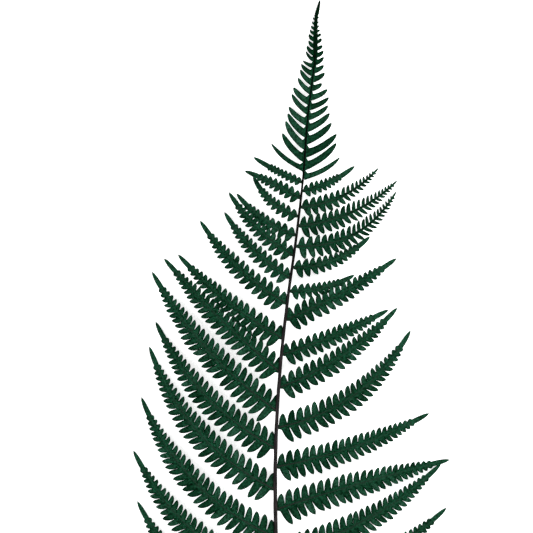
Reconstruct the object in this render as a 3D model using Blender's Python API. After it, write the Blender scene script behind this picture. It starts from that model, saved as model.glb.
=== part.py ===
"""One cut bracken frond, lying flat on a surface. Blender 4.5, metres, +Z up.

The frond grew as one piece, so it is one solid: a slender stalk that is bare at
its foot and carries the leafy blade above. The blade's side branches, called
pinnae here, are combed into leaflets lower down, only lobed higher up, and
plain sickle shapes towards the frond's tip.

The origin is on the surface, under the stalk, where the blade begins. +Y runs
along the stalk to the frond's tip, and the surface is at Z = 0.
Lengths below are in millimetres; MM turns them into metres.
"""

import math

import bpy

MM = 0.001

# Stalk: its middle line seen from above, from the cut end to the tip.
STALK_LINE = [
    (-7.0, -118.0),
    (-2.5, -60.0),
    (0.0, 0.0),
    (0.4, 60.0),
    (-0.6, 125.0),
    (0.3, 170.0),
    (3.6, 220.0),
    (9.0, 268.0),
    (15.0, 311.0),
    (20.4, 358.0),
    (22.4, 385.0),
    (24.1, 405.0),
    (26.8, 426.0),
    (29.1, 445.0),
    (29.6, 462.0),
    (30.1, 476.0),
    (32.6, 488.0),
]
# Stalk: distance along the frond, and diameter there.
STALK_DIAMETERS = [(-118, 4.4), (0, 3.6), (90, 3.0), (250, 2.4), (360, 1.6), (440, 1.1), (488, 0.7)]
STALK_SIDES = 8
STALK_RING_STEP = 20.0
# The stalk rests on the surface up to here, then arches clear of it.
STALK_LIFTS_FROM = 20.0
STALK_LIFT = 11.0
TIP_LIFT = 0.6

BLADE_THICKNESS = 0.7
# Half the width of the uncut strip along a pinna's rib, which is a little wider
# on a long pinna, and its undivided tip, which is a little longer on a long one.
WING_AT_ZERO = 1.6
WING_PER_MM = 0.005
TIP_HALF = 1.5
TIP_AT_ZERO = 10.0
TIP_PER_MM = 0.03
# The strip of the frond's tip beyond the stalk's own side.
TIP_RIM = 0.4
TIP_RIM_GROWTH = 0.4

# Pinnae combed into leaflets: distance of the foot along the stalk, the tip's
# place, and how far the middle of the pinna sags from a straight line, as a
# share of its length. Left is -X, right is +X, seen from above.
LEFT_PINNAE = [
    (18.0, -104.0, 114.0, 0.09),
    (52.0, -107.0, 152.0, 0.09),
    (87.0, -101.0, 192.0, 0.10),
    (123.0, -95.0, 230.0, 0.10),
    (154.0, -90.3, 248.6, 0.08),
    (182.0, -93.0, 286.0, 0.055),
    (211.0, -84.0, 296.0, 0.02),
    (236.0, -73.5, 299.0, 0.04),
    (262.0, -56.9, 324.3, 0.061),
    (281.0, -38.7, 330.8, 0.063),
    (298.0, -35.4, 345.7, 0.062),
    (313.0, -29.5, 344.8, 0.083),
    (327.0, -17.2, 357.8, 0.11),
    (340.5, -23.5, 361.6, -0.02),
]
RIGHT_PINNAE = [
    (8.0, 124.0, 72.0, 0.06),
    (41.0, 128.0, 109.0, 0.06),
    (76.0, 123.7, 141.9, 0.068),
    (108.0, 130.3, 145.0, -0.016),
    (140.0, 114.9, 179.8, 0.035),
    (169.5, 101.0, 242.0, 0.11),
    (199.5, 91.0, 259.0, 0.06),
    (224.0, 84.4, 257.4, 0.02),
    (250.0, 90.5, 296.0, 0.028),
    (271.5, 58.9, 283.6, 0.07),
    (289.0, 70.5, 312.5, 0.10),
    (305.0, 88.9, 345.2, 0.15),
    (320.0, 89.0, 354.0, 0.09),
    (334.0, 75.5, 363.5, 0.10),
]
# Pinnae that are only lobed, in the same four values.
LEFT_LOBED = (352.5, -17.0, 372.0, 0.03)
RIGHT_LOBED = (346.0, 59.2, 365.4, 0.065)

# Leaflets, on the side of the frond's tip and below: length beyond the strip as a
# share of the pinna's length, of which a fixed length is taken off, lean to the
# rib at the pinna's foot and at its tip, and how late they grow shorter.
UPPER_LEAFLET = (0.065, math.radians(75), math.radians(55), 2.3)
LOWER_LEAFLET = (0.079, math.radians(80), math.radians(53), 2.9)
LEAFLET_LESS = 1.5
# Those below start a little further along, by a share of the gap between two.
LOWER_SHIFT = 0.15
FIRST_LEAFLET = 1.0
LAST_LEAFLET = 1.1
PAIRS_PER_MM = 0.16
GAP_FADING = 0.4
# Leaflets nearer the foot than this share of the pinna have broad blunt ends,
# with edges given as for the sickles below; those beyond it run to a point.
BLUNT_UP_TO = 0.28
BLUNT_END = (0.70, 1.0, 0.275, -0.125)

# Slender pinnae, whose outer half has narrow pointed leaflets up to the very tip.
SLENDER_FEET = (305.0, 320.0, 334.0)
SLENDER_FROM = 0.35
SLENDER_FULLY = 0.55
SLENDER_LEAFLET = 0.105
SLENDER_FADING = 2.1
SLENDER_LAST = 0.5
SLENDER_WING = 0.7
SLENDER_TIP = 4.0
SLENDER_PAIRS_PER_MM = 0.19

# Lobed pinnae: how many pairs of lobes, length of a lobe next to the stalk, on
# the left and on the right, half the strip's width, and the undivided tip.
LOBE_PAIRS = 8
LEFT_LOBE = 1.2
RIGHT_LOBE = 2.7
LOBED_WING = 1.7
LOBED_TIP = 14.0

# Heights: how far a pinna arches, as a share of its length, how far its edges
# are turned about its rib, so that neighbours lie over each other like tiles,
# and how far a leaflet droops to its tip.
PINNA_ARCH = 0.055
PINNA_ROLL = math.radians(11)
LEAFLET_DROOP = 0.010

# Plain sickle-shaped pinnae towards the frond's tip: the axil below each one,
# as a distance along the stalk, and the place of its own tip. The last value is
# the axil above them all, where the frond runs out in an undivided tip.
LEFT_SICKLES = [
    (361.0, -3.6, 382.0),
    (367.8, 4.7, 389.4),
    (377.0, 7.2, 398.6),
    (386.2, 8.8, 404.4),
    (395.2, 9.5, 409.3),
    (403.4, 11.9, 418.9),
    (410.7, 13.0, 423.9),
    (418.8, 16.5, 431.0),
    (425.6, 18.2, 437.3),
    (432.3, 18.9, 441.4),
    (438.6, 20.0, 444.2),
    (443.4, 22.4, 451.0),
    (447.8, 23.1, 455.2),
    (453.3, 24.4, 459.1),
    (458.2, 24.6, 463.9),
    (463.3, 25.3, 467.4),
    (466.9, 26.4, 470.4),
    (470.3, 27.3, 473.6),
    (474.0, 27.9, 476.6),
]
LEFT_LAST_AXIL = 477.0
RIGHT_SICKLES = [
    (354.4, 47.7, 371.3),
    (361.6, 45.2, 382.1),
    (371.2, 45.4, 388.9),
    (381.0, 41.6, 397.2),
    (390.4, 40.2, 404.5),
    (399.2, 39.0, 410.3),
    (406.7, 39.6, 416.4),
    (414.0, 38.6, 422.5),
    (421.1, 34.4, 426.9),
    (427.8, 36.5, 434.8),
    (434.7, 35.8, 440.6),
    (440.8, 35.8, 446.7),
    (446.2, 35.6, 451.4),
    (451.5, 34.9, 455.6),
    (456.3, 34.2, 460.8),
    (461.2, 33.7, 464.4),
    (465.3, 32.9, 467.4),
    (468.1, 32.1, 470.6),
    (471.3, 31.9, 473.7),
    (475.0, 32.1, 477.0),
]
RIGHT_LAST_AXIL = 478.6
# Where their middle line starts, as a share of the gap between two axils, and
# their edges: share of the length, half the width as a share of the gap, and
# the bulge towards the frond's foot as a share of the length.
SICKLE_ROOT = 0.36
SICKLE_EDGES = [(0.30, 0.25, 0.075), (0.68, 0.20, 0.065)]
# A gap narrower than this has a short tooth, which needs only the first of them.
TOOTH_GAP = 5.0


def smooth(at, low, high):
    """0 below low, 1 above high, and a soft step between them."""
    share = min(max((at - low) / (high - low), 0.0), 1.0)
    return share * share * (3 - 2 * share)


def between(table, at):
    """Straight-line reading of a table of (place, value)."""
    for (a, value_a), (b, value_b) in zip(table, table[1:]):
        if at <= b:
            break
    share = min(max((at - a) / (b - a), 0.0), 1.0)
    return value_a + (value_b - value_a) * share


def stalk_x(y):
    """Sideways place of the stalk's middle line, on a smooth curve."""
    points = STALK_LINE
    last = len(points) - 2
    i = next((k for k in range(last) if y <= points[k + 1][1]), last)
    (x1, y1), (x2, y2) = points[i], points[i + 1]
    x0, y0 = points[max(i - 1, 0)]
    x3, y3 = points[min(i + 2, last + 1)]
    slope1, slope2 = (x2 - x0) / (y2 - y0), (x3 - x1) / (y3 - y1)
    t, span = (y - y1) / (y2 - y1), y2 - y1
    return (
        x1 * (1 + 2 * t) * (1 - t) ** 2
        + x2 * t * t * (3 - 2 * t)
        + span * (slope1 * t * (1 - t) ** 2 - slope2 * t * t * (1 - t))
    )


def stalk_diameter(y):
    return between(STALK_DIAMETERS, y)


def stalk_underside(y):
    """Height of the stalk's underside: on the surface, then one low arch."""
    tip = STALK_LINE[-1][1]
    share = min(max((y - STALK_LIFTS_FROM) / (tip - STALK_LIFTS_FROM), 0.0), 1.0)
    return STALK_LIFT * math.sin(math.pi * share) ** 2 + TIP_LIFT * share * share


def stalk_middle(y):
    return stalk_underside(y) + stalk_diameter(y) / 2


def mesh_object(name, vertices, faces):
    mesh = bpy.data.meshes.new(name)
    mesh.from_pydata([[c * MM for c in v] for v in vertices], [], faces)
    mesh.validate()
    thing = bpy.data.objects.new(name, mesh)
    bpy.context.scene.collection.objects.link(thing)
    return thing


def stalk():
    """An eight-sided tapering rod with one flat side down."""
    foot, tip = STALK_LINE[0][1], STALK_LINE[-1][1]
    steps = round((tip - foot) / STALK_RING_STEP)
    vertices, faces = [], []
    half_side = math.pi / STALK_SIDES
    for i in range(steps + 1):
        y = foot + (tip - foot) * i / steps
        flat_radius = stalk_diameter(y) / 2
        corner_radius = flat_radius / math.cos(half_side)
        for k in range(STALK_SIDES):
            angle = 2 * math.pi * k / STALK_SIDES + half_side
            x = stalk_x(y) + corner_radius * math.cos(angle)
            vertices.append((x, y, stalk_middle(y) + corner_radius * math.sin(angle)))
    for i in range(steps):
        for k in range(STALK_SIDES):
            a, b = i * STALK_SIDES + k, i * STALK_SIDES + (k + 1) % STALK_SIDES
            faces.append((a, b, b + STALK_SIDES, a + STALK_SIDES))
    ring = list(range(STALK_SIDES))
    faces.append(ring[::-1])
    faces.append([steps * STALK_SIDES + k for k in ring])
    faces = [face[::-1] for face in faces]
    return mesh_object("stalk", vertices, faces)


class Line:
    """A rib in plan: place() and direction() at a share of its length."""

    def __init__(self, foot, tip, sag):
        self.foot, self.tip = foot, tip
        across = (tip[0] - foot[0], tip[1] - foot[1])
        self.length = math.hypot(*across)
        down = -1 if across[0] > 0 else 1
        self.middle = (
            (foot[0] + tip[0]) / 2 - 2 * sag * across[1] * down,
            (foot[1] + tip[1]) / 2 + 2 * sag * across[0] * down,
        )

    def place(self, s):
        a, b, c = (1 - s) ** 2, 2 * s * (1 - s), s * s
        return tuple(
            a * p + b * q + c * r for p, q, r in zip(self.foot, self.middle, self.tip)
        )

    def direction(self, s):
        x, y = (
            (1 - s) * (q - p) + s * (r - q)
            for p, q, r in zip(self.foot, self.middle, self.tip)
        )
        size = math.hypot(x, y)
        return x / size, y / size


def turned(direction, angle):
    x, y = direction
    return (
        x * math.cos(angle) - y * math.sin(angle),
        x * math.sin(angle) + y * math.cos(angle),
    )


def stepped(point, *moves):
    """A point after moves of (direction, distance)."""
    x, y = point
    for (dx, dy), distance in moves:
        x, y = x + dx * distance, y + dy * distance
    return x, y


class Blade:
    """A thin sheet: plan triangles, the same above and below, closed by walls."""

    def __init__(self, name, height):
        self.name, self.height = name, height
        self.points, self.triangles = [], []

    def point(self, xy):
        self.points.append(xy)
        return len(self.points) - 1

    def triangle(self, a, b, c):
        (ax, ay), (bx, by), (cx, cy) = (self.points[k] for k in (a, b, c))
        area = (bx - ax) * (cy - ay) - (by - ay) * (cx - ax)
        self.triangles.append((a, b, c) if area > 0 else (a, c, b))

    def lobe(self, start, end, pairs, tip=None):
        """One leaflet, from the notch before it to the notch after it.

        It ends in a point at tip, or else bluntly, between its last two points.
        """
        for near, far in pairs:
            near, far = self.point(near), self.point(far)
            self.triangle(start, end, far)
            self.triangle(start, far, near)
            start, end = near, far
        if tip:
            self.triangle(start, end, self.point(tip))

    def strip(self, left, right, place):
        """The rib between two rows of notches, zipped from foot to tip."""
        i = k = 0
        while i + 1 < len(left) or k + 1 < len(right):
            next_left = place(left[i + 1]) if i + 1 < len(left) else math.inf
            next_right = place(right[k + 1]) if k + 1 < len(right) else math.inf
            if next_left <= next_right:
                self.triangle(left[i], left[i + 1], right[k])
                i += 1
            else:
                self.triangle(left[i], right[k + 1], right[k])
                k += 1

    def build(self):
        half = BLADE_THICKNESS / 2
        count = len(self.points)
        heights = [max(self.height(x, y), half) for x, y in self.points]
        vertices = [(x, y, z - half) for (x, y), z in zip(self.points, heights)]
        vertices += [(x, y, z + half) for (x, y), z in zip(self.points, heights)]
        faces = [(a + count, b + count, c + count) for a, b, c in self.triangles]
        faces += [(c, b, a) for a, b, c in self.triangles]
        edges = {e for a, b, c in self.triangles for e in ((a, b), (b, c), (c, a))}
        for a, b in sorted(e for e in edges if e[::-1] not in edges):
            faces += [(a, b, b + count), (a, b + count, a + count)]
        return mesh_object(self.name, vertices, faces)


def outline(root, tip, side, stations):
    """Edge points of one leaflet, from the middle of its foot to its tip.

    side is 1 to the left of the rib. A station is the share of the length on
    the near edge and on the far edge, half the width, and the shift ahead.
    """
    size = math.dist(root, tip)
    out = (tip[0] - root[0]) / size, (tip[1] - root[1]) / size
    ahead = turned(out, -side * math.pi / 2)
    return [
        (
            stepped(root, (out, size * near), (ahead, shift - half)),
            stepped(root, (out, size * far), (ahead, shift + half)),
        )
        for near, far, half, shift in stations
    ]


def beside(line, s, side, half):
    """A point of the rib's edge, half away from the rib's middle."""
    return stepped(line.place(s), (turned(line.direction(s), side * math.pi / 2), half))


def pinna(name, values, lobe=None):
    """A side branch with leaflets, or lobes of a given length, along its rib."""
    foot_y, tip_x, tip_y, sag = values
    foot = (stalk_x(foot_y), foot_y)
    line = Line(foot, (tip_x, tip_y), sag)
    length = line.length
    side_of_stalk = -1 if tip_x < foot[0] else 1
    slender = foot_y in SLENDER_FEET and side_of_stalk == 1
    root_height = stalk_middle(foot_y)

    def height(x, y):
        s, off = nearest(line, x, y)
        towards_tip = off * side_of_stalk
        rib = root_height * (1 - s * s) + PINNA_ARCH * length * math.sin(math.pi * s)
        grip = min(s / 0.06, 1.0)
        roll = -math.tan(PINNA_ROLL) * towards_tip * (1 - s) * grip
        return rib + roll - LEAFLET_DROOP * off * off

    pairs = round(PAIRS_PER_MM * length)
    foot_half, tip_half = WING_AT_ZERO + WING_PER_MM * length, TIP_HALF
    tip_length = TIP_AT_ZERO + TIP_PER_MM * length
    if lobe:
        pairs, foot_half, tip_length = LOBE_PAIRS, LOBED_WING, LOBED_TIP
    if slender:
        pairs = round(SLENDER_PAIRS_PER_MM * length)
        tip_length, tip_half = SLENDER_TIP, SLENDER_WING
    start = (stalk_diameter(foot_y) / 2 + FIRST_LEAFLET) / length
    end = 1 - tip_length / length
    gaps = [1 - GAP_FADING * k / pairs for k in range(pairs + 1)]
    scale = (end - start) / sum(gaps[:-1])

    def slenderness(s):
        return smooth(s, SLENDER_FROM, SLENDER_FULLY) if slender else 0.0

    def wing(s):
        share = max(smooth(s, 0.6 * end, end), slenderness(s))
        near_stalk = min(0.35 + 0.65 * s * length / 6.0, 1.0)
        return (foot_half + (tip_half - foot_half) * share) * near_stalk

    def leaflet_length(s, share, fading):
        broad = lobe or share * length - LEAFLET_LESS
        broad = broad * max(1 - (s / end) ** fading, 0.0) + LAST_LEAFLET
        narrow = SLENDER_LEAFLET * length * max(1 - (s / end) ** SLENDER_FADING, 0.0)
        return broad + (narrow + SLENDER_LAST - broad) * slenderness(s)

    blade = Blade(name, height)
    rows, along = {}, {}
    for side in (1, -1):
        upper = side == side_of_stalk
        share, lean_foot, lean_tip, fading = UPPER_LEAFLET if upper else LOWER_LEAFLET
        shift = 0.0 if upper else LOWER_SHIFT
        notches = [0.0]
        for k, gap in enumerate(gaps):
            notches.append(start + scale * (sum(gaps[:k]) + shift * gap))
        row = [blade.point(beside(line, s, side, wing(s))) for s in notches]
        for k in range(1, pairs + 1):
            s = (notches[k] + notches[k + 1]) / 2
            gap = (notches[k + 1] - notches[k]) * length
            size = leaflet_length(s, share, fading)
            lean = lean_foot + (lean_tip - lean_foot) * s
            root = beside(line, s, side, wing(s))
            tip = stepped(root, (turned(line.direction(s), side * lean), size))
            if s < BLUNT_UP_TO and not lobe:
                near, far, half, shift_ahead = BLUNT_END
                stations = [(near, far, half * gap, shift_ahead * gap)]
                blade.lobe(row[k], row[k + 1], outline(root, tip, side, stations))
            else:
                blade.lobe(row[k], row[k + 1], [], tip)
        rows[side] = row
        along.update(zip(row, notches))
    blade.strip(rows[1], rows[-1], along.get)
    s = end + 0.6 * (1 - end)
    sides = [(beside(line, s, 1, 0.8 * tip_half), beside(line, s, -1, 0.8 * tip_half))]
    blade.lobe(rows[1][-1], rows[-1][-1], sides, line.tip)
    return blade.build()


def nearest(line, x, y):
    """Share along a rib nearest to a point, and the distance to its left."""
    low, high = 0.0, 1.0
    for _ in range(24):
        s = (low + high) / 2
        (px, py), (dx, dy) = line.place(s), line.direction(s)
        if (x - px) * dx + (y - py) * dy > 0:
            low = s
        else:
            high = s
    return s, (y - py) * dx - (x - px) * dy


def frond_tip():
    """The top of the frond: plain pinnae that grow together along the stalk."""

    def rim(y, side):
        half = stalk_diameter(y) / 2 + TIP_RIM + TIP_RIM_GROWTH * smooth(y, 430.0, 470.0)
        return stalk_x(y) - side * half, y

    def height(x, y):
        off = abs(x - stalk_x(min(y, STALK_LINE[-1][1])))
        return stalk_middle(min(y, STALK_LINE[-1][1])) + 0.05 * off - 0.004 * off * off

    blade = Blade("frond_tip", height)
    rows, along = {}, {}
    for side, sickles, last_axil in (
        (1, LEFT_SICKLES, LEFT_LAST_AXIL),
        (-1, RIGHT_SICKLES, RIGHT_LAST_AXIL),
    ):
        feet = [foot for foot, _, _ in sickles] + [last_axil]
        row = [blade.point(rim(y, side)) for y in feet]
        for k, (low, high) in enumerate(zip(feet, feet[1:])):
            tip = sickles[k][1:]
            root = rim(low + (high - low) * SICKLE_ROOT, side)
            size = math.dist(root, tip)
            edges = SICKLE_EDGES if high - low > TOOTH_GAP else SICKLE_EDGES[:1]
            stations = [
                (share, share, min((high - low) * half, 0.2 * size), -size * bulge)
                for share, half, bulge in edges
            ]
            blade.lobe(row[k], row[k + 1], outline(root, tip, side, stations), tip)
        rows[side] = row
        along.update(zip(row, feet))
    blade.strip(rows[1], rows[-1], along.get)
    middle = (LEFT_LAST_AXIL + STALK_LINE[-1][1]) / 2
    sides = [(rim(middle, 1), rim(middle, -1))]
    blade.lobe(rows[1][-1], rows[-1][-1], sides, stepped(STALK_LINE[-1], ((0, 1), 2.0)))
    return blade.build()


def frond():
    """Stalk and pinnae joined into the one body that grew."""
    body = stalk()
    leaves = bpy.data.collections.new("leaves")
    bpy.context.scene.collection.children.link(leaves)
    pieces = [frond_tip()]
    for side, rows, lobed, lobe in (
        ("left", LEFT_PINNAE, LEFT_LOBED, LEFT_LOBE),
        ("right", RIGHT_PINNAE, RIGHT_LOBED, RIGHT_LOBE),
    ):
        for k, values in enumerate(rows):
            pieces.append(pinna(f"pinna_{side}_{k}", values))
        pieces.append(pinna(f"lobed_{side}", lobed, lobe))
    for piece in pieces:
        bpy.context.scene.collection.objects.unlink(piece)
        leaves.objects.link(piece)
    union = body.modifiers.new("join", "BOOLEAN")
    union.operation = "UNION"
    union.operand_type = "COLLECTION"
    union.collection = leaves
    union.solver = "EXACT"
    depsgraph = bpy.context.evaluated_depsgraph_get()
    joined = bpy.data.meshes.new_from_object(body.evaluated_get(depsgraph))
    body.modifiers.clear()
    for piece in pieces:
        bpy.data.objects.remove(piece)
    bpy.data.collections.remove(leaves)
    body.data = joined
    body.name = joined.name = "frond"
    return body


def leaf_green():
    """Dried, dyed bracken: dark, slightly blue green, and matt."""
    material = bpy.data.materials.new("leaf_green")
    material.use_nodes = True
    shader = material.node_tree.nodes["Principled BSDF"]
    shader.inputs["Base Color"].default_value = (0.016, 0.060, 0.038, 1.0)
    shader.inputs["Roughness"].default_value = 0.75
    shader.inputs["Metallic"].default_value = 0.0
    return material


def main():
    for thing in list(bpy.data.objects):
        bpy.data.objects.remove(thing)
    body = frond()
    body.data.materials.clear()
    body.data.materials.append(leaf_green())
    body.data.shade_smooth()
    body.data.set_sharp_from_angle(angle=math.radians(30))


main()
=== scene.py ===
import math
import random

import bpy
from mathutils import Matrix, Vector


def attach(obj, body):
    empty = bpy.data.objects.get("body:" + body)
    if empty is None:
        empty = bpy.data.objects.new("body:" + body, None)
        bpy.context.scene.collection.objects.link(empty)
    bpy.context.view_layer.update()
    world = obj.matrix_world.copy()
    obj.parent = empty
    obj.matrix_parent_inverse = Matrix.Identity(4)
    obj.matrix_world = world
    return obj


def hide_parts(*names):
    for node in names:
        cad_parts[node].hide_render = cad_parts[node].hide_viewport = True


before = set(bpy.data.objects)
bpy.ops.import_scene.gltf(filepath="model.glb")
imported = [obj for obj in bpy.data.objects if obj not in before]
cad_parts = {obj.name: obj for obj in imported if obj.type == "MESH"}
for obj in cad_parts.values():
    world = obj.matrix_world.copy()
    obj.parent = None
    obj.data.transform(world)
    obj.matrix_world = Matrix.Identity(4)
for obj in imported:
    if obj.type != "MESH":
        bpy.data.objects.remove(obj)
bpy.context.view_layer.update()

# One cut bracken frond, lying flat, seen from straight above. The solid of the
# frame is replaced by finer pieces with the same stalk, side branches and
# heights: a brown stalk with the ribs of the side branches, and green sheets cut
# into every leaflet. Lengths are in millimetres, and MM turns them into metres.

MM = 0.001
NODE = "frond"
BODY = "root"

# Stalk: its middle line seen from above, from the cut end to the tip.
STALK_LINE = [
    (-7.0, -118.0),
    (-2.5, -60.0),
    (0.0, 0.0),
    (0.4, 60.0),
    (-0.6, 125.0),
    (0.3, 170.0),
    (3.6, 220.0),
    (9.0, 268.0),
    (15.0, 311.0),
    (20.4, 358.0),
    (22.4, 385.0),
    (24.1, 405.0),
    (26.8, 426.0),
    (29.1, 445.0),
    (29.6, 462.0),
    (30.1, 476.0),
    (32.6, 488.0),
]
# Its diameter at places along it.
STALK_DIAMETERS = [
    (-118, 4.4),
    (0, 3.6),
    (90, 3.0),
    (250, 2.35),
    (360, 1.6),
    (440, 1.25),
    (465, 1.05),
    (488, 0.6),
]
# Where its underside leaves the surface, how high it arches, and how high it ends.
STALK_LIFTS_FROM = 20.0
STALK_LIFT = 11.0
TIP_LIFT = 0.6
STALK_SIDES = 20
STALK_RING_STEP = 3.0
# The groove along its top: depth as a share of the radius, and spread in radians.
GROOVE = 0.16
GROOVE_SPREAD = 0.42
# The swelling above a pinna's foot: its share of the radius, place and spread.
SWELLING = 0.06
SWELLING_SHIFT = 1.0
SWELLING_SPREAD = 4.0
# How much of the foot is cut face, where the pale pith shows.
CUT_DEPTH = 0.05

# Pinnae combed into leaflets: foot along the stalk, tip, and sag of the middle.
# The three slender ones on the right end 1 to 2 mm beyond the solid.
LEFT_PINNAE = [
    (18.0, -104.0, 114.0, 0.09),
    (52.0, -107.0, 152.0, 0.09),
    (87.0, -101.0, 192.0, 0.10),
    (123.0, -95.0, 230.0, 0.10),
    (154.0, -90.3, 248.6, 0.08),
    (182.0, -93.0, 286.0, 0.055),
    (211.0, -84.0, 296.0, 0.02),
    (236.0, -73.5, 299.0, 0.04),
    (262.0, -56.9, 324.3, 0.061),
    (281.0, -38.7, 330.8, 0.063),
    (298.0, -35.4, 345.7, 0.062),
    (313.0, -29.5, 344.8, 0.083),
    (327.0, -17.2, 357.8, 0.11),
    (340.5, -23.5, 361.6, -0.02),
]
RIGHT_PINNAE = [
    (8.0, 124.0, 72.0, 0.06),
    (41.0, 128.0, 109.0, 0.06),
    (76.0, 123.7, 141.9, 0.068),
    (108.0, 130.3, 145.0, -0.016),
    (140.0, 114.9, 179.8, 0.035),
    (169.5, 101.0, 242.0, 0.11),
    (199.5, 91.0, 259.0, 0.06),
    (224.0, 84.4, 257.4, 0.02),
    (250.0, 90.5, 296.0, 0.028),
    (271.5, 58.9, 283.6, 0.07),
    (289.0, 70.5, 312.5, 0.10),
    (305.0, 90.2, 346.1, 0.15),
    (320.0, 90.8, 354.2, 0.09),
    (334.0, 76.8, 363.7, 0.10),
]
LEFT_LOBED = (352.5, -17.0, 372.0, 0.03)
RIGHT_LOBED = (346.0, 59.2, 365.4, 0.065)
# The first pinnae of each list, from the foot, that go in its lower piece.
LOWER_PINNAE = 6

# Plain sickle-shaped pinnae: the axil below each, and its tip.
LEFT_SICKLES = [
    (361.0, -3.6, 382.0),
    (367.8, 4.7, 389.4),
    (377.0, 7.2, 398.6),
    (386.2, 8.8, 404.4),
    (395.2, 9.5, 409.3),
    (403.4, 11.9, 418.9),
    (410.7, 13.0, 423.9),
    (418.8, 16.5, 431.0),
    (425.6, 18.2, 437.3),
    (432.3, 18.9, 441.4),
    (438.6, 20.0, 444.2),
    (443.4, 22.4, 451.0),
    (447.8, 23.1, 455.2),
    (453.3, 24.4, 459.1),
    (458.2, 24.6, 463.9),
    (463.3, 25.3, 467.4),
    (466.9, 26.4, 470.4),
    (470.3, 27.3, 473.6),
    (474.0, 27.9, 476.6),
]
LEFT_LAST_AXIL = 477.0
RIGHT_SICKLES = [
    (354.4, 47.7, 371.3),
    (361.6, 45.2, 382.1),
    (371.2, 45.4, 388.9),
    (381.0, 41.6, 397.2),
    (390.4, 40.2, 404.5),
    (399.2, 39.0, 410.3),
    (406.7, 39.6, 416.4),
    (414.0, 38.6, 422.5),
    (421.1, 34.4, 426.9),
    (427.8, 36.5, 434.8),
    (434.7, 35.8, 440.6),
    (440.8, 35.8, 446.7),
    (446.2, 35.6, 451.4),
    (451.5, 34.9, 455.6),
    (456.3, 34.2, 460.8),
    (461.2, 33.7, 464.4),
    (465.3, 32.9, 467.4),
    (468.1, 32.1, 470.6),
    (471.3, 31.9, 473.7),
    (475.0, 32.1, 477.0),
]
RIGHT_LAST_AXIL = 478.6
# A sickle's root between its two axils, its width as a share of their gap, what
# a short tooth adds to that, and how far it bends towards the frond's tip.
SICKLE_ROOT = 0.36
SICKLE_WIDTH = 0.53
TOOTH_WIDER = 0.06
SICKLE_BULGE = 0.30
# The gap up to which it is a short tooth, and from which it is a full sickle.
TOOTH_GAP = 3.0
SICKLE_GAP = 7.0
# How much wider it is at its foot, and how far out that reaches, against the gap.
SICKLE_FLARE = 0.5
FLARE_REACH = 0.30
# The most that half its width may be: a share of its length, and a fixed part.
SICKLE_LIMIT = (0.26, 0.3)
SICKLE_TWIST_CHANCE = 0.08
# Width of the blade that joins the sickles, on each side of the stalk.
TIP_RIMS = [(400.0, 0.4), (428.0, 0.5), (448.0, 1.1), (464.0, 1.05), (478.0, 0.85)]
# The frond's undivided end: how far it passes the stalk, rows, half width at its
# foot and at its tip, small teeth, and lean to the right.
TIP_LENGTH = 1.6
END_STEPS = 14
END_FOOT_HALF = 1.25
END_TIP_HALF = 0.3
END_TEETH = 0.3
END_LEAN = 0.18

# Rows from a sickle's foot to its tip, with the width there as a share of its
# widest, for a long sickle and for a short tooth.
SICKLE_ROWS = [
    (0.10, 1.0, 1.05),
    (0.22, 1.0, 1.0),
    (0.36, 1.0, 0.95),
    (0.50, 0.99, 0.88),
    (0.63, 0.95, 0.78),
    (0.75, 0.86, 0.64),
    (0.85, 0.70, 0.48),
    (0.93, 0.50, 0.32),
    (0.98, 0.28, 0.18),
    (1.0, 0.12, 0.08),
]

# Pinna blades: half the width of the uncut strip along the rib, and the undivided
# tip, which is a little longer on a long pinna.
WING_AT_ZERO = 1.6
WING_PER_MM = 0.005
TIP_HALF = 1.9
TIP_AT_ZERO = 10.0
TIP_PER_MM = 0.03
# The tip's outline: rows, how full and how round it is, and what its end keeps.
TIP_STEPS = 7
TIP_SHAPE = (2.5, 0.65)
TIP_LAST_HALF = 0.08
# The strip's share of its width at the stalk, the distance from the stalk where it
# has its full width, and the share of the leaflets' reach where it starts to narrow.
WING_AT_STALK = 0.35
WING_FULL_AT = 6.0
WING_NARROWS_FROM = 0.6
# The strip has a few more rows along the rib than there are pairs of leaflets.
MORE_STEPS_THAN_PAIRS = 4

# Leaflets, on the side of the frond's tip and below: length beyond the strip as a
# share of the pinna's length, of which a fixed length is taken off, lean to the
# rib at the pinna's foot and at its tip, and how late they grow shorter.
UPPER_LEAFLET = (0.062, math.radians(72), math.radians(52), 2.6)
LOWER_LEAFLET = (0.076, math.radians(78), math.radians(52), 3.0)
LEAFLET_LESS = 0.3
LAST_LEAFLET = 1.1
# A leaflet below the rib sits further out, against the gap, and is wider.
LOWER_SHIFT = 0.15
LOWER_WIDTH = 1.05
# How far a leaflet bends towards the pinna's tip, and how round its end is.
LEAFLET_BULGE = 0.14
TIP_ROUNDING = 0.04
# Distance of the first leaflet from the stalk, pairs of leaflets, and how much
# closer together the last ones are.
FIRST_LEAFLET = 0.5
PAIRS_PER_MM = 0.17
GAP_FADING = 0.40
# The two leaflets next to the stalk, against their neighbours, above and below.
FIRST_UPPER = (0.92, 1.0)
FIRST_LOWER = (1.12, 1.05)
# Length against the gap, from a short tooth to a long leaflet.
LONG_LEAFLET = (0.5, 1.9)
# Chance: the smallest and largest factor on a leaflet's length and width, the
# spread of its lean, sideways sway and twist, and the mean and spread of its droop.
LENGTH_CHANCE = (0.94, 1.06)
WIDTH_CHANCE = (0.96, 1.05)
LEAN_CHANCE = math.radians(2.5)
SWAY_CHANCE = 0.03
TWIST_CHANCE = 0.10
DROOP_CHANCE = (-0.02, 0.035)

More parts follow.
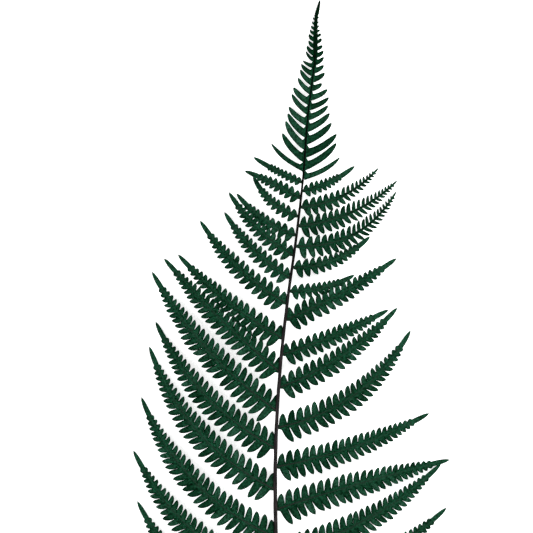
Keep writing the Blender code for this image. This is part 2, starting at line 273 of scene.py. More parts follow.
# Slender pinnae on the right, known by their feet. Between two shares of their
# length they change over to narrow, darker and more slanted leaflets, which go on
# up to the very tip, and to a thick dark rib. The other values take the place of
# those with a like name above.
SLENDER_FEET = (305.0, 320.0, 334.0)
SLENDER_FROM = 0.35
SLENDER_FULLY = 0.55
SLENDER_LEAFLET = 0.105
SLENDER_FADING = 2.1
SLENDER_WING = 0.75
SLENDER_TIP = 4.0
SLENDER_PAIRS_PER_MM = 0.23
SLENDER_GAP_FADING = 0.56
SLENDER_WIDTH = 0.78
SLENDER_LEAN = math.radians(6)
SLENDER_LAST = 1.2
SLENDER_DARKER = 0.6
SLENDER_RIB = 0.52
SLENDER_RIB_TAPER = 0.45

# Pinnae that are only lobed: how deep on each side of the frond, strip and tip.
LOBE_PAIRS = 8
LEFT_LOBE = 1.2
RIGHT_LOBE = 2.7
LOBED_WING = 1.7
LOBED_TIP = 14.0

# Rows from a leaflet's foot to its tip, with the width there as a share of the
# gap between two leaflets, for a long leaflet and for a short tooth.
LEAFLET_ROWS = [
    (0.0, 1.0, 1.0),
    (0.08, 0.93, 0.94),
    (0.26, 0.89, 0.82),
    (0.46, 0.83, 0.68),
    (0.64, 0.73, 0.53),
    (0.79, 0.58, 0.39),
    (0.90, 0.40, 0.26),
    (0.97, 0.23, 0.16),
    (1.0, 0.10, 0.07),
]
# How far out, against the gap, a leaflet's rows have turned square to it.
ROW_TURN = 0.6
# Columns from a leaflet's near edge to its far edge.
COLUMNS = [-1.0, -0.55, 0.0, 0.55, 1.0]

# Heights, as in the solid: a pinna arches and rolls, its blade droops away from
# the rib, and the blade of the frond's tip first rises from the stalk.
PINNA_ARCH = 0.055
PINNA_ROLL = math.radians(11)
ROLL_FULL_FROM = 0.06
LEAFLET_DROOP = 0.010
TIP_RISE = 0.05
TIP_DROOP = 0.004
SHEET_THICKNESS = 0.3
# Relief: the groove along the midrib, the crown of each half, and the curl of the
# edge, for leaflets and sickles. It is full from this gap on.
LEAFLET_RELIEF = (0.16, 0.10, 0.32)
LEAFLET_RELIEF_GAP = 5.0
SICKLE_RELIEF = (0.12, 0.08, 0.22)
SICKLE_RELIEF_GAP = 6.0
# How soon a leaflet's relief starts, and how much of it is gone at the tip.
RELIEF_RISE = 0.1
RELIEF_FADING = 0.4

# Ribs, as tubes a little sunk into the blade: share of the pinna's length, rings
# and sides, radius at the tip, what it gains at the foot, and flare at the stalk.
RIB_END = 0.9
RIB_STEPS = 24
RIB_SIDES = 8
RIB_TIP_RADIUS = 0.10
RIB_AT_ZERO = 0.06
RIB_PER_MM = 0.0024
RIB_TAPER = 1.2
RIB_FLARE = 0.3
RIB_FLARE_LENGTH = 2.5
RIB_FLATNESS = 0.8
RIB_SINK = 0.1
RIB_LOWEST = 0.05
# How green a rib is at its foot, and how much greener it gets.
RIB_GREEN = 0.2
RIB_GREENER = 0.7

# How light the green is: along a rib, for leaflets and for sickles. A leaflet
# takes its own tone over this part of its length.
WING_TONE = 0.45
DARKEST_TONE = 0.12
TONE_RANGE = 0.76
OWN_TONE = (-0.15, 0.4)
SICKLE_TONES = (0.2, 0.9)
# How much darker it gets towards the frond's tip, and where.
TIP_DARKER = 0.85
DARKER_BETWEEN = (425.0, 455.0)
# Rim points count as this far across a leaflet, from midrib to edge.
RIM_ACROSS = 0.5
TIP_RIM_ACROSS = 0.3
# Where the random draws start, so that each run gives the same frond.
SEED = 7

# Photograph: its size, the size of a pixel in millimetres, and the column and row
# where the frame's origin lies, which is below the photograph's lower edge.
PHOTO_PIXELS = 533
PIXEL = 0.75
ORIGIN_COLUMN = 276
ORIGIN_ROW = 653
CAMERA_HEIGHT = 2.0
SENSOR = 36.0

# Stage, in metres. The surface glows a little, like a light table, so that it
# stays white, and lies a hair lower than the frond.
FLOOR_GLOW = 0.66
FLOOR_HALF = 3.0
FLOOR_DEPTH = 0.0002
WORLD_LIGHT = 0.4
# Softboxes: place from the middle of the view, size and power in watts.
SOFTBOXES = [
    ("softbox_key", 1.3, 0.9, 1.1, 1.0, 50.0),
    ("softbox_left", -1.3, 0.6, 1.3, 1.2, 9.0),
    ("softbox_below", 0.2, -1.4, 1.2, 1.2, 22.0),
]

SHARP_ANGLE = math.radians(50)
# A colour mix has sockets of the same name, so they are known by their numbers.
COLOUR_MIX_INPUTS = (0, 6, 7)
COLOUR_MIX_OUTPUT = 2


def smooth(at, low, high):
    """0 below low, 1 above high, and a soft step between them."""
    share = min(max((at - low) / (high - low), 0.0), 1.0)
    return share * share * (3 - 2 * share)


def between(table, at):
    """Straight-line reading of a table of (place, value)."""
    for (a, value_a), (b, value_b) in zip(table, table[1:]):
        if at <= b:
            break
    share = min(max((at - a) / (b - a), 0.0), 1.0)
    return value_a + (value_b - value_a) * share


def stalk_x(y):
    """Sideways place of the stalk's middle line, on a smooth curve."""
    points = STALK_LINE
    last = len(points) - 2
    i = next((k for k in range(last) if y <= points[k + 1][1]), last)
    (x1, y1), (x2, y2) = points[i], points[i + 1]
    x0, y0 = points[max(i - 1, 0)]
    x3, y3 = points[min(i + 2, last + 1)]
    slope1 = (x2 - x0) / (y2 - y0)
    slope2 = (x3 - x1) / (y3 - y1)
    span = y2 - y1
    t = (y - y1) / span
    return (
        x1 * (1 + 2 * t) * (1 - t) ** 2
        + x2 * t * t * (3 - 2 * t)
        + span * (slope1 * t * (1 - t) ** 2 - slope2 * t * t * (1 - t))
    )


def stalk_diameter(y):
    return between(STALK_DIAMETERS, y)


def stalk_underside(y):
    """Height of the stalk's underside: on the surface, then one low arch."""
    tip = STALK_LINE[-1][1]
    share = min(max((y - STALK_LIFTS_FROM) / (tip - STALK_LIFTS_FROM), 0.0), 1.0)
    return STALK_LIFT * math.sin(math.pi * share) ** 2 + TIP_LIFT * share * share


def stalk_middle(y):
    return stalk_underside(y) + stalk_diameter(y) / 2


class Line:
    """A rib in plan: place() and direction() at a share of its length."""

    def __init__(self, foot, tip, sag):
        self.foot, self.tip = foot, tip
        across = (tip[0] - foot[0], tip[1] - foot[1])
        self.length = math.hypot(*across)
        down = -1 if across[0] > 0 else 1
        self.middle = (
            (foot[0] + tip[0]) / 2 - 2 * sag * across[1] * down,
            (foot[1] + tip[1]) / 2 + 2 * sag * across[0] * down,
        )

    def place(self, s):
        a, b, c = (1 - s) ** 2, 2 * s * (1 - s), s * s
        return tuple(
            a * p + b * q + c * r for p, q, r in zip(self.foot, self.middle, self.tip)
        )

    def direction(self, s):
        x, y = (
            (1 - s) * (q - p) + s * (r - q)
            for p, q, r in zip(self.foot, self.middle, self.tip)
        )
        size = math.hypot(x, y)
        return x / size, y / size


def turned(direction, angle):
    x, y = direction
    return (
        x * math.cos(angle) - y * math.sin(angle),
        x * math.sin(angle) + y * math.cos(angle),
    )


def stepped(point, *moves):
    """A point after moves of (direction, distance)."""
    x, y = point
    for (dx, dy), distance in moves:
        x, y = x + dx * distance, y + dy * distance
    return x, y


class Sheet:
    """A thin green sheet, drawn in plan with heights and closed below.

    Each point keeps how light its leaflet is, how far across it lies from the
    midrib, and, for the veins, its place along and across the leaflet. The tone
    is the third value of that place, so that each leaflet has veins of its own.
    """

    def __init__(self, name):
        self.name = name
        self.points, self.faces = [], []
        self.tones, self.across, self.veins = [], [], []

    def point(self, x, y, z, tone, across, vein=(0.0, 0.0)):
        self.points.append((x, y, max(z, SHEET_THICKNESS / 2)))
        self.tones.append(tone)
        self.across.append(abs(across))
        self.veins.append((vein[0], abs(vein[1]), tone))
        return len(self.points) - 1

    def face(self, *corners):
        area = 0.0
        for a, b in zip(corners, corners[1:] + corners[:1]):
            (ax, ay, _), (bx, by, _) = self.points[a], self.points[b]
            area += ax * by - ay * bx
        self.faces.append(corners if area > 0 else corners[::-1])

    def grid(self, rows):
        for low, high in zip(rows, rows[1:]):
            for k in range(len(low) - 1):
                self.face(low[k], low[k + 1], high[k + 1], high[k])

    def zipped(self, left, right, place):
        """Triangles between two rows of rim points, from foot to tip."""
        i = k = 0
        while i + 1 < len(left) or k + 1 < len(right):
            next_left = place[left[i + 1]] if i + 1 < len(left) else math.inf
            next_right = place[right[k + 1]] if k + 1 < len(right) else math.inf
            if next_left <= next_right:
                self.face(left[i], left[i + 1], right[k])
                i += 1
            else:
                self.face(left[i], right[k + 1], right[k])
                k += 1

    def build(self, material):
        half = SHEET_THICKNESS / 2
        count = len(self.points)
        vertices = [(x * MM, y * MM, (z - half) * MM) for x, y, z in self.points]
        vertices += [(x * MM, y * MM, (z + half) * MM) for x, y, z in self.points]
        faces = [tuple(k + count for k in face) for face in self.faces]
        faces += [face[::-1] for face in self.faces]
        edges = {e for face in self.faces for e in zip(face, face[1:] + face[:1])}
        for a, b in sorted(e for e in edges if e[::-1] not in edges):
            faces.append((a, b, b + count, a + count))
        thing = mesh_object(self.name, vertices, faces, material)
        for name, kind, values in (
            ("tone", "FLOAT", self.tones),
            ("across", "FLOAT", self.across),
            ("vein", "FLOAT_VECTOR", [c for vein in self.veins for c in vein]),
        ):
            attribute = thing.data.attributes.new(name, kind, "POINT")
            key = "vector" if kind == "FLOAT_VECTOR" else "value"
            attribute.data.foreach_set(key, values * 2)
        return thing


def mesh_object(name, vertices, faces, material):
    mesh = bpy.data.meshes.new(name)
    mesh.from_pydata(vertices, [], faces)
    mesh.materials.append(material)
    mesh.shade_smooth()
    mesh.set_sharp_from_angle(angle=SHARP_ANGLE)
    thing = bpy.data.objects.new(name, mesh)
    bpy.context.scene.collection.objects.link(thing)
    return thing


class Tubes:
    """Closed tapering tubes gathered in one mesh.

    Each point keeps how green it is: 0 on the stalk, 0.5 on a rib among broad
    leaflets, and 1 on the dark rib of a slender pinna.
    """

    def __init__(self):
        self.vertices, self.faces, self.greens = [], [], []

    def add(self, rings, greens):
        """rings: lists of points, the same number in each, foot to tip."""
        start, sides = len(self.vertices), len(rings[0])
        for ring, green in zip(rings, greens):
            self.vertices += [(x * MM, y * MM, z * MM) for x, y, z in ring]
            self.greens += [green] * sides
        for i in range(len(rings) - 1):
            for k in range(sides):
                a, b = start + i * sides + k, start + i * sides + (k + 1) % sides
                self.faces.append((a + sides, b + sides, b, a))
        self.faces.append(tuple(range(start, start + sides)))
        last = start + (len(rings) - 1) * sides
        self.faces.append(tuple(range(last, last + sides))[::-1])

    def build(self, name, material):
        thing = mesh_object(name, self.vertices, self.faces, material)
        attribute = thing.data.attributes.new("green", "FLOAT", "POINT")
        attribute.data.foreach_set("value", self.greens)
        return thing


class Shading:
    """One material: its nodes, and the few steps that its colours are made of."""

    def __init__(self, name, roughness, specular):
        self.material = bpy.data.materials.new(name)
        self.material.use_nodes = True
        tree = self.material.node_tree
        self.nodes = tree.nodes
        self.link = tree.links.new
        self.shader = tree.nodes["Principled BSDF"]
        self.shader.inputs["Roughness"].default_value = roughness
        self.shader.inputs["Specular IOR Level"].default_value = specular
        self.coordinates = self.nodes.new("ShaderNodeTexCoord").outputs["Object"]

    def attribute(self, name, output="Fac"):
        node = self.nodes.new("ShaderNodeAttribute")
        node.attribute_name = name
        return node.outputs[output]

    def ramp(self, value, *stops):
        """The colour for a value, between stops of (place, colour)."""
        node = self.nodes.new("ShaderNodeValToRGB")
        elements = node.color_ramp.elements
        while len(elements) < len(stops):
            elements.new(0.5)
        for element, (place, colour) in zip(elements, stops):
            element.position = place
            element.color = (*colour, 1.0)
        self.link(value, node.inputs["Fac"])
        return node.outputs["Color"]

    def noise(self, scale, detail=2.0, roughness=0.5, coordinates=None):
        node = self.nodes.new("ShaderNodeTexNoise")
        node.inputs["Scale"].default_value = scale
        node.inputs["Detail"].default_value = detail
        node.inputs["Roughness"].default_value = roughness
        coordinates = self.coordinates if coordinates is None else coordinates
        self.link(coordinates, node.inputs["Vector"])
        return node.outputs["Fac"]

    def mixed(self, share, first, second, blend="MIX"):
        """A mix of two colours; each of the three is a socket or a plain value."""
        node = self.nodes.new("ShaderNodeMix")
        node.data_type = "RGBA"
        node.blend_type = blend
        for socket, value in zip(COLOUR_MIX_INPUTS, (share, first, second)):
            if isinstance(value, bpy.types.NodeSocket):
                self.link(value, node.inputs[socket])
            elif isinstance(value, tuple):
                node.inputs[socket].default_value = (*value, 1.0)
            else:
                node.inputs[socket].default_value = value
        return node.outputs[COLOUR_MIX_OUTPUT]

    def multiplied(self, colour, *others):
        for other in others:
            colour = self.mixed(1.0, colour, other, "MULTIPLY")
        return colour

    def bump(self, height, strength, distance, normal=None):
        node = self.nodes.new("ShaderNodeBump")
        node.inputs["Strength"].default_value = strength
        node.inputs["Distance"].default_value = distance
        self.link(height, node.inputs["Height"])
        if normal is not None:
            self.link(normal, node.inputs["Normal"])
        return node.outputs["Normal"]

    def painted(self, colour, normal=None):
        """The material, once its colour and its relief are joined to the shader."""
        self.link(colour, self.shader.inputs["Base Color"])
        if normal is not None:
            self.link(normal, self.shader.inputs["Normal"])
        return self.material


def leaf_material():
    """Matt blue-green leaf: tone by leaflet, speckle, fine slanted veins, and painted shade along
    each leaflet's edge.
    """
    leaf = Shading("bracken_leaf", roughness=0.6, specular=0.01)
    across = leaf.attribute("across")
    wave = leaf.nodes.new("ShaderNodeTexWave")
    wave.wave_type = "BANDS"
    wave.bands_direction = "DIAGONAL"
    wave.inputs["Scale"].default_value = 0.55
    wave.inputs["Distortion"].default_value = 1.2
    wave.inputs["Detail"].default_value = 1.0
    leaf.link(leaf.attribute("vein", "Vector"), wave.inputs["Vector"])
    veins = wave.outputs["Fac"]
    speckle = leaf.noise(720.0, detail=3.0, roughness=0.7)
    colour = leaf.multiplied(
        leaf.ramp(
            leaf.attribute("tone"),
            (0.0, (0.0003, 0.0130, 0.0042)),
            (0.5, (0.0034, 0.0300, 0.0130)),
            (1.0, (0.0115, 0.0490, 0.0265)),
        ),
        leaf.ramp(speckle, (0.38, (0.10, 0.32, 0.21)), (0.62, (2.05, 1.72, 1.86))),
        leaf.ramp(leaf.noise(60.0), (0.35, (0.85, 0.88, 0.86)), (0.65, (1.10, 1.08, 1.12))),
        leaf.ramp(veins, (0.05, (0.30, 0.50, 0.40)), (0.50, (1.30, 1.16, 1.22))),
        # Painted shade: each leaflet darkens towards its edges, like thin shadows that outline it
        # against its neighbours.
        leaf.ramp(across, (0.50, (1.05, 1.05, 1.05)), (1.0, (0.14, 0.32, 0.24))),
    )
    midrib = leaf.ramp(across, (0.0, (0.4, 0.4, 0.4)), (0.18, (0.0, 0.0, 0.0)))
    colour = leaf.mixed(midrib, colour, (0.012, 0.026, 0.017))
    relief = leaf.bump(veins, strength=0.5, distance=0.00012)
    relief = leaf.bump(leaf.noise(2600.0), strength=0.35, distance=0.00012, normal=relief)
    return leaf.painted(colour, relief)


def stalk_material():
    """Dried stalk: grey brown below, nearly black towards the frond's tip."""
    stalk = Shading("bracken_stalk", roughness=0.45, specular=0.012)
    apart = stalk.nodes.new("ShaderNodeSeparateXYZ")
    stalk.link(stalk.coordinates, apart.inputs["Vector"])
    along = stalk.nodes.new("ShaderNodeMapRange")
    along.inputs["From Min"].default_value = STALK_LINE[0][1] * MM
    along.inputs["From Max"].default_value = STALK_LINE[-1][1] * MM
    stalk.link(apart.outputs["Y"], along.inputs["Value"])
    stretch = stalk.nodes.new("ShaderNodeMapping")
    stretch.inputs["Scale"].default_value = (1.0, 0.05, 1.0)
    stalk.link(stalk.coordinates, stretch.inputs["Vector"])
    streak = stalk.noise(2200.0, detail=3.0, coordinates=stretch.outputs["Vector"])
    colour = stalk.multiplied(
        stalk.ramp(
            along.outputs["Result"],
            (0.0, (0.0190, 0.0160, 0.0140)),
            (0.45, (0.0175, 0.0145, 0.0155)),
            (0.58, (0.0130, 0.0108, 0.0116)),
            (0.70, (0.0062, 0.0058, 0.0056)),
            (0.79, (0.0010, 0.0018, 0.0012)),
            (0.90, (0.0006, 0.0022, 0.0012)),
            (1.0, (0.0008, 0.0040, 0.0020)),
        ),
        # Lengthwise streaks: partly the dried stalk's own light grey streaks, partly painted
        # highlights and painted shade along it, from their strong contrast.
        stalk.ramp(streak, (0.34, (0.25, 0.30, 0.26)), (0.66, (1.75, 1.75, 1.75))),
    )
    green = stalk.attribute("green")
    is_rib = stalk.ramp(green, (0.0, (0.0, 0.0, 0.0)), (0.5, (1.0, 1.0, 1.0)))
    rib = stalk.ramp(green, (0.5, (0.0100, 0.0240, 0.0150)), (1.0, (0.0008, 0.0030, 0.0014)))
    colour = stalk.mixed(is_rib, colour, rib)
    cut = stalk.nodes.new("ShaderNodeMath")
    cut.operation = "LESS_THAN"
    cut.inputs[1].default_value = (STALK_LINE[0][1] + CUT_DEPTH) * MM
    stalk.link(apart.outputs["Y"], cut.inputs[0])
    pith = stalk.noise(1500.0)
    pith = stalk.ramp(pith, (0.35, (0.20, 0.14, 0.08)), (0.6, (0.42, 0.33, 0.21)))
    colour = stalk.mixed(cut.outputs["Value"], colour, pith)
    return stalk.painted(colour, stalk.bump(streak, strength=0.5, distance=0.0002))


def floor_material():
    """Nearly white and matt, with a faint grain and a glow of its own."""
    pale = Shading("pale_floor", roughness=0.9, specular=0.1)
    pale.shader.inputs["Emission Color"].default_value = (1.0, 1.0, 1.0, 1.0)
    pale.shader.inputs["Emission Strength"].default_value = FLOOR_GLOW
    grain = pale.ramp(pale.noise(40.0), (0.0, (0.93, 0.93, 0.93)), (1.0, (0.95, 0.95, 0.95)))
    return pale.painted(grain)


def relief_at(v, heights):
    """Height of a leaflet's surface at a column: groove, crown or curled edge."""
    groove, crown, curl = heights
    if v == 0:
        return -groove
    return crown if abs(v) < 1 else -curl


class Pinna:
    """A side branch: a rib, and a blade cut into leaflets on both sides of it.

    A place along the rib is a share of its length, called s. The side is 1 to
    the left of the rib, seen from its foot, and -1 to the right.
    """

    def __init__(self, values, lobe=None):
        foot_y, tip_x, tip_y, sag = values
        foot = (stalk_x(foot_y), foot_y)
        self.line = Line(foot, (tip_x, tip_y), sag)
        self.length = self.line.length
        self.side_of_stalk = -1 if tip_x < foot[0] else 1
        self.root_height = stalk_middle(foot_y)
        self.slender = foot_y in SLENDER_FEET and self.side_of_stalk == 1
        self.lobe = lobe

        self.pairs = round(PAIRS_PER_MM * self.length)
        self.blade_half = WING_AT_ZERO + WING_PER_MM * self.length
        self.tip_half = TIP_HALF
        tip_length = TIP_AT_ZERO + TIP_PER_MM * self.length
        gap_fading = GAP_FADING
        if lobe:
            self.pairs = LOBE_PAIRS
            self.blade_half = LOBED_WING
            tip_length = LOBED_TIP
        if self.slender:
            self.pairs = round(SLENDER_PAIRS_PER_MM * self.length)
            self.tip_half = SLENDER_WING
            tip_length = SLENDER_TIP
            gap_fading = SLENDER_GAP_FADING

        start = (stalk_diameter(foot_y) / 2 + FIRST_LEAFLET) / self.length
        self.end = 1 - tip_length / self.length
        self.gaps = [1 - gap_fading * k / self.pairs for k in range(self.pairs)]
        self.scale = (self.end - start) / sum(self.gaps)
        self.places = [start]
        for gap in self.gaps:
            self.places.append(self.places[-1] + gap * self.scale)

    def slenderness(self, s):
        return smooth(s, SLENDER_FROM, SLENDER_FULLY) if self.slender else 0.0

    def height(self, s, off):
        """Height of the blade at a distance to the left of the rib."""
        s = min(max(s, 0.0), 1.0)
        arch = PINNA_ARCH * self.length * math.sin(math.pi * s)
        rib = self.root_height * (1 - s * s) + arch
        grip = min(s / ROLL_FULL_FROM, 1.0)
        roll = -math.tan(PINNA_ROLL) * off * self.side_of_stalk * (1 - s) * grip
        return rib + roll - LEAFLET_DROOP * off * off

    def wing(self, s):
        """Half the width of the uncut strip along the rib."""
        share = max(smooth(s, WING_NARROWS_FROM * self.end, self.end), self.slenderness(s))
        near_stalk = WING_AT_STALK + (1 - WING_AT_STALK) * s * self.length / WING_FULL_AT
        return (self.blade_half + (self.tip_half - self.blade_half) * share) * min(near_stalk, 1.0)

    def rim(self, sheet, s, side, half):
        sideways = turned(self.line.direction(s), side * math.pi / 2)
        x, y = stepped(self.line.place(s), (sideways, half))
        return sheet.point(x, y, self.height(s, half * side), WING_TONE, RIM_ACROSS)

    def span(self, k, upper):
        """Where a leaflet starts and ends along the rib."""
        shift = 0.0 if upper else LOWER_SHIFT
        after = min(k + 1, self.pairs - 1)
        low = self.places[k] + shift * self.gaps[k] * self.scale
        high = self.places[k + 1] + shift * self.gaps[after] * self.scale
        return low, high

    def leaflet_length(self, k, s, upper):
        """How far a leaflet reaches beyond the strip, before chance changes it."""
        share, _, _, fading = UPPER_LEAFLET if upper else LOWER_LEAFLET
        length = self.lobe or share * self.length - LEAFLET_LESS
        length = length * max(1 - (s / self.end) ** fading, 0.0) + LAST_LEAFLET
        slender = SLENDER_LEAFLET * self.length * (1 - (s / self.end) ** SLENDER_FADING)
        length += self.slenderness(s) * (max(slender, 0.0) + SLENDER_LAST - length)
        firsts = FIRST_UPPER if upper else FIRST_LOWER
        return length * firsts[k] if k < len(firsts) else length

    def leaflet(self, sheet, side, span, size, lean, width, first, rng):
        """One leaflet; gives back the rim points of its foot.

        first is the last rim point of the leaflet before, which the two share.
        """
        low, high = span
        s = (low + high) / 2
        strip = self.wing(s)
        forward = self.line.direction(s)
        sideways = turned(forward, side * math.pi / 2)
        root = stepped(self.line.place(s), (sideways, strip))
        out = turned(forward, side * lean)
        ahead = turned(out, -side * math.pi / 2)
        gap = (high - low) * self.length
        light = 1 - SLENDER_DARKER * self.slenderness(s)
        tone = (DARKEST_TONE + TONE_RANGE * rng.random()) * light
        twist = rng.gauss(0.0, TWIST_CHANCE)
        droop = rng.gauss(*DROOP_CHANCE)
        sway = rng.gauss(0.0, SWAY_CHANCE)
        long_share = smooth(size / gap, *LONG_LEAFLET)
        grid = []
        for u, long_width, short_width in LEAFLET_ROWS:
            half = gap / 2 * (short_width + (long_width - short_width) * long_share)
            half *= width if u > 0 else 1.0
            bend = size * (LEAFLET_BULGE * (u * u - u) + sway * u * u)
            middle = stepped(root, (out, u * size), (ahead, bend))
            turn = smooth(u * size, 0.0, ROW_TURN * gap)
            crosswise = turned(forward, side * (lean - math.pi / 2) * turn)
            own_tone = WING_TONE + (tone - WING_TONE) * smooth(u, *OWN_TONE)
            fading = min(u / RELIEF_RISE, 1.0) * (1 - RELIEF_FADING * u)
            fading *= min(gap / LEAFLET_RELIEF_GAP, 1.0)
            row = []
            for v in COLUMNS:
                if u == 0 and v == -1 and first is not None:
                    row.append(first)
                    continue
                backward = -TIP_ROUNDING * size * v * v * u**4
                x, y = stepped(middle, (crosswise, v * half), (out, backward))
                dx, dy = x - root[0], y - root[1]
                along = (dx * forward[0] + dy * forward[1]) / self.length
                off = strip + dx * sideways[0] + dy * sideways[1]
                z = self.height(s + along, off * side) + relief_at(v, LEAFLET_RELIEF) * fading
                z += twist * v * half * u + droop * size * u * u
                row.append(sheet.point(x, y, z, own_tone, v, (u * size, v * half)))
            grid.append(row)
        sheet.grid(grid)
        return grid[0]

    def leaflets(self, sheet, side, rng):
        """All leaflets of one side; gives back the rim's points and their places."""
        upper = side == self.side_of_stalk
        _, lean_foot, lean_tip, _ = UPPER_LEAFLET if upper else LOWER_LEAFLET
        row = [self.rim(sheet, 0.0, side, self.wing(0.0))]
        shares = [0.0]
        last = None
        for k in range(self.pairs):
            low, high = self.span(k, upper)
            s = (low + high) / 2
            thin = self.slenderness(s)
            size = self.leaflet_length(k, s, upper) * rng.uniform(*LENGTH_CHANCE)
            lean = lean_foot + (lean_tip - lean_foot) * s + rng.gauss(0.0, LEAN_CHANCE)
            lean -= thin * SLENDER_LEAN * s
            width = rng.uniform(*WIDTH_CHANCE) * (1.0 if upper else LOWER_WIDTH)
            width *= 1 - thin * (1 - SLENDER_WIDTH)
            foot_row = self.leaflet(sheet, side, (low, high), size, lean, width, last, rng)
            foot_shares = [low + (high - low) * (v + 1) / 2 for v in COLUMNS]
            shared = 0 if last is None else 1
            row += foot_row[shared:]
            shares += foot_shares[shared:]
            last = foot_row[-1]
        return row, shares

    def add_tip(self, sheet, side, row, shares):
        """Continue a rim around the undivided tip."""
        begin = shares[-1]
        fullness, roundness = TIP_SHAPE
        for k in range(1, TIP_STEPS + 1):
            share = k / TIP_STEPS
            s = begin + (1 - begin) * share
            half = self.tip_half * (1 - share**fullness) ** roundness + TIP_LAST_HALF
            row.append(self.rim(sheet, s, side, half))
            shares.append(s)

    def add_blade(self, sheet, rng):
        """Leaflets and tip, and the strip that joins them along the rib."""
        left, left_shares = self.leaflets(sheet, 1, rng)
        right, right_shares = self.leaflets(sheet, -1, rng)
        self.add_tip(sheet, 1, left, left_shares)
        self.add_tip(sheet, -1, right, right_shares)
        middle, middle_shares = [], []
        steps = self.pairs + MORE_STEPS_THAN_PAIRS
        for k in range(steps + 1):
            s = k / steps
            x, y = self.line.place(s)
            middle.append(sheet.point(x, y, self.height(s, 0.0) - RIB_SINK, WING_TONE, 0.0))
            middle_shares.append(s)
        place = dict(zip(middle, middle_shares))
        place.update(zip(left, left_shares))
        place.update(zip(right, right_shares))
        sheet.zipped(left, middle, place)
        sheet.zipped(middle, right, place)

    def add_rib(self, tubes):
        rings, greens = [], []
        for k in range(RIB_STEPS + 1):
            s = RIB_END * k / RIB_STEPS
            radius = RIB_AT_ZERO + RIB_PER_MM * self.length
            radius = RIB_TIP_RADIUS + radius * (1 - s) ** RIB_TAPER
            green = min(RIB_GREEN + RIB_GREENER * s, 0.5)
            if self.slender:
                radius = max(radius, SLENDER_RIB * (1 - SLENDER_RIB_TAPER * s))
                green = 0.5 + 0.5 * self.slenderness(s)
            radius += RIB_FLARE * math.exp(-s * self.length / RIB_FLARE_LENGTH)
            crosswise = turned(self.line.direction(s), math.pi / 2)
            z = self.height(s, 0.0) + SHEET_THICKNESS / 2 - RIB_SINK
            ring = []
            for j in range(RIB_SIDES):
                angle = 2 * math.pi * j / RIB_SIDES
                x, y = stepped(self.line.place(s), (crosswise, radius * math.cos(angle)))
                rise = RIB_FLATNESS * radius * math.sin(angle)
                ring.append((x, y, max(z + rise, RIB_LOWEST)))
            rings.append(ring)
            greens.append(green)
        tubes.add(rings, greens)


def tip_height(x, y):
    """Height of the blade of the frond's tip."""
    y_on_stalk = min(y, STALK_LINE[-1][1])
    off = abs(x - stalk_x(y_on_stalk))
    return stalk_middle(y_on_stalk) + TIP_RISE * off - TIP_DROOP * off * off


def tip_light(y):
    """How light the blade is: it darkens towards the frond's tip."""
    return 1 - TIP_DARKER * smooth(y, *DARKER_BETWEEN)


def tip_rim(y, side):
    """Where the sickles join the strip along the stalk; side is 1 to the left."""
    half = stalk_diameter(y) / 2 + between(TIP_RIMS, y)
    return stalk_x(y) - side * half, y


def sickle(sheet, root, tip, gap, side, rim_row, rng):
    """A plain pinna of the frond's tip, from its rim points at the stalk."""
    size = math.dist(root, tip)
    out = (tip[0] - root[0]) / size, (tip[1] - root[1]) / size
    ahead = turned(out, -side * math.pi / 2)
    tone = rng.uniform(*SICKLE_TONES) * tip_light(tip[1])
    twist = rng.gauss(0.0, SICKLE_TWIST_CHANCE)
    long_share = min(max((gap - TOOTH_GAP) / (SICKLE_GAP - TOOTH_GAP), 0.0), 1.0)
    limit_share, limit_more = SICKLE_LIMIT
    grid = [rim_row]
    for u, long_width, short_width in SICKLE_ROWS:
        flare = SICKLE_FLARE * math.exp(-u * size / (FLARE_REACH * gap))
        half = gap * (SICKLE_WIDTH + TOOTH_WIDER * (1 - long_share)) / 2 * (1 + flare)
        half *= short_width + (long_width - short_width) * long_share
        half = min(half, limit_share * size + limit_more)
        middle = stepped(root, (out, u * size), (ahead, SICKLE_BULGE * size * (u * u - u)))
        turn = smooth(u * size, 0.0, ROW_TURN * gap)
        crosswise = turned((0.0, 1.0), turn * math.atan2(-ahead[0], ahead[1]))
        row = []
        for v in COLUMNS:
            x, y = stepped(middle, (crosswise, v * half))
            relief = relief_at(v, SICKLE_RELIEF) * min(gap / SICKLE_RELIEF_GAP, 1.0)
            z = tip_height(x, y) + relief + twist * v * half * u
            row.append(sheet.point(x, y, z, tone, v, (u * size, v * half)))
        grid.append(row)
    sheet.grid(grid)


def frond_tip(rng, material):
    """The frond's tip: plain pinnae that grow together along the stalk."""
    sheet = Sheet("frond_tip")
    rows, place = {}, {}
    for side, sickles, last_axil in (
        (1, LEFT_SICKLES, LEFT_LAST_AXIL),
        (-1, RIGHT_SICKLES, RIGHT_LAST_AXIL),
    ):
        feet = [foot for foot, _, _ in sickles] + [last_axil]
        row = []
        for k, (low, high) in enumerate(zip(feet, feet[1:])):
            rim_row = []
            for v in COLUMNS:
                x, y = tip_rim(low + (high - low) * (v + 1) / 2, side)
                tone = WING_TONE * tip_light(y)
                rim_row.append(sheet.point(x, y, tip_height(x, y), tone, TIP_RIM_ACROSS))
                place[rim_row[-1]] = y
            root = tip_rim(low + (high - low) * SICKLE_ROOT, side)
            sickle(sheet, root, sickles[k][1:], high - low, side, rim_row, rng)
            row += rim_row
        top = STALK_LINE[-1][1] + TIP_LENGTH
        for k in range(1, END_STEPS + 1):
            share = k / END_STEPS
            y = last_axil + (top - last_axil) * share
            y_on_stalk = min(y, STALK_LINE[-1][1])
            half = END_FOOT_HALF * (1 - share) ** 0.5 + END_TIP_HALF
            half += END_TEETH * (k % 2) * (1 - share) ** 0.7
            x = stalk_x(y_on_stalk) + (y - y_on_stalk) * END_LEAN - side * half
            tone = WING_TONE * (1 - TIP_DARKER)
            row.append(sheet.point(x, y, tip_height(x, y), tone, RIM_ACROSS))
            place[row[-1]] = y
        rows[side] = row
    sheet.zipped(rows[1], rows[-1], place)
    return sheet.build(material)


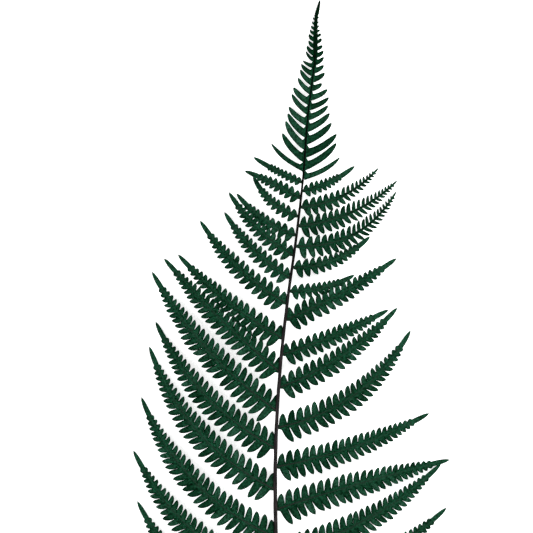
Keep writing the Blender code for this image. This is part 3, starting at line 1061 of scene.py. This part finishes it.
def stalk_rings():
    """Rings of the stalk: round, with a shallow groove along its top."""
    foot, tip = STALK_LINE[0][1], STALK_LINE[-1][1]
    steps = round((tip - foot) / STALK_RING_STEP)
    feet = [values[0] for values in LEFT_PINNAE + RIGHT_PINNAE]
    rings = []
    for i in range(steps + 1):
        y = foot + (tip - foot) * i / steps
        radius = stalk_diameter(y) / 2
        swelling = sum(
            math.exp(-(((y - at - SWELLING_SHIFT) / SWELLING_SPREAD) ** 2)) for at in feet
        )
        ring = []
        for k in range(STALK_SIDES):
            angle = 2 * math.pi * k / STALK_SIDES
            groove = GROOVE * math.exp(-(((angle - math.pi / 2) / GROOVE_SPREAD) ** 2))
            sideways = radius * (1 - groove) * (1 + SWELLING * swelling)
            x = stalk_x(y) + sideways * math.cos(angle)
            z = stalk_middle(y) + radius * (1 - groove) * math.sin(angle)
            ring.append((x, y, max(z, 0.0)))
        rings.append(ring)
    return rings


def frond():
    """All the pieces, which together stand for the frame's one solid."""
    leaf, stalk = leaf_material(), stalk_material()
    tubes = Tubes()
    stalk_rows = stalk_rings()
    tubes.add(stalk_rows, [0.0] * len(stalk_rows))
    rng = random.Random(SEED)
    pieces = []
    for side, rows, lobed, lobe in (
        ("left", LEFT_PINNAE, LEFT_LOBED, LEFT_LOBE),
        ("right", RIGHT_PINNAE, RIGHT_LOBED, RIGHT_LOBE),
    ):
        lower, upper = Sheet(f"pinnae_{side}_lower"), Sheet(f"pinnae_{side}_upper")
        pinnae = [Pinna(values) for values in rows] + [Pinna(lobed, lobe)]
        for k, pinna in enumerate(pinnae):
            pinna.add_blade(lower if k < LOWER_PINNAE else upper, rng)
            pinna.add_rib(tubes)
        pieces += [lower.build(leaf), upper.build(leaf)]
    pieces.append(frond_tip(rng, leaf))
    brown = tubes.build("stalk_and_ribs", stalk)
    pieces.append(brown)
    for piece in pieces:
        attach(piece, BODY)
        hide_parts(NODE)


def floor():
    half = FLOOR_HALF
    corners = [(-half, -half, 0), (half, -half, 0), (half, half, 0), (-half, half, 0)]
    plane = mesh_object("floor", corners, [(0, 1, 2, 3)], floor_material())
    plane.location.z = -FLOOR_DEPTH


def area_light(name, place, target, size, power):
    light = bpy.data.lights.new(name, "AREA")
    light.shape = "DISK"
    light.size = size
    light.energy = power
    thing = bpy.data.objects.new(name, light)
    thing.location = place
    away = thing.location - target
    thing.rotation_euler = away.to_track_quat("Z", "Y").to_euler()
    bpy.context.scene.collection.objects.link(thing)


def lights(middle):
    for name, x, y, z, size, power in SOFTBOXES:
        area_light(name, (middle.x + x, middle.y + y, z), middle, size, power)
    world = bpy.data.worlds.new("studio")
    world.use_nodes = True
    background = world.node_tree.nodes["Background"]
    background.inputs["Color"].default_value = (1.0, 1.0, 1.0, 1.0)
    background.inputs["Strength"].default_value = WORLD_LIGHT
    bpy.context.scene.world = world


def camera():
    """Straight above, framed as the photograph; gives the middle of the view."""
    data = bpy.data.cameras.new("camera")
    thing = bpy.data.objects.new("camera", data)
    bpy.context.scene.collection.objects.link(thing)
    half = PHOTO_PIXELS / 2
    x = (half - ORIGIN_COLUMN) * PIXEL * MM
    y = (ORIGIN_ROW - half) * PIXEL * MM
    thing.location = (x, y, CAMERA_HEIGHT)
    data.sensor_width = SENSOR
    data.lens = SENSOR * CAMERA_HEIGHT / (PHOTO_PIXELS * PIXEL * MM)
    bpy.context.scene.camera = thing
    return Vector((x, y, 0.0))


view_middle = camera()
lights(view_middle)
floor()
frond()
bpy.context.scene.view_settings.view_transform = "Standard"
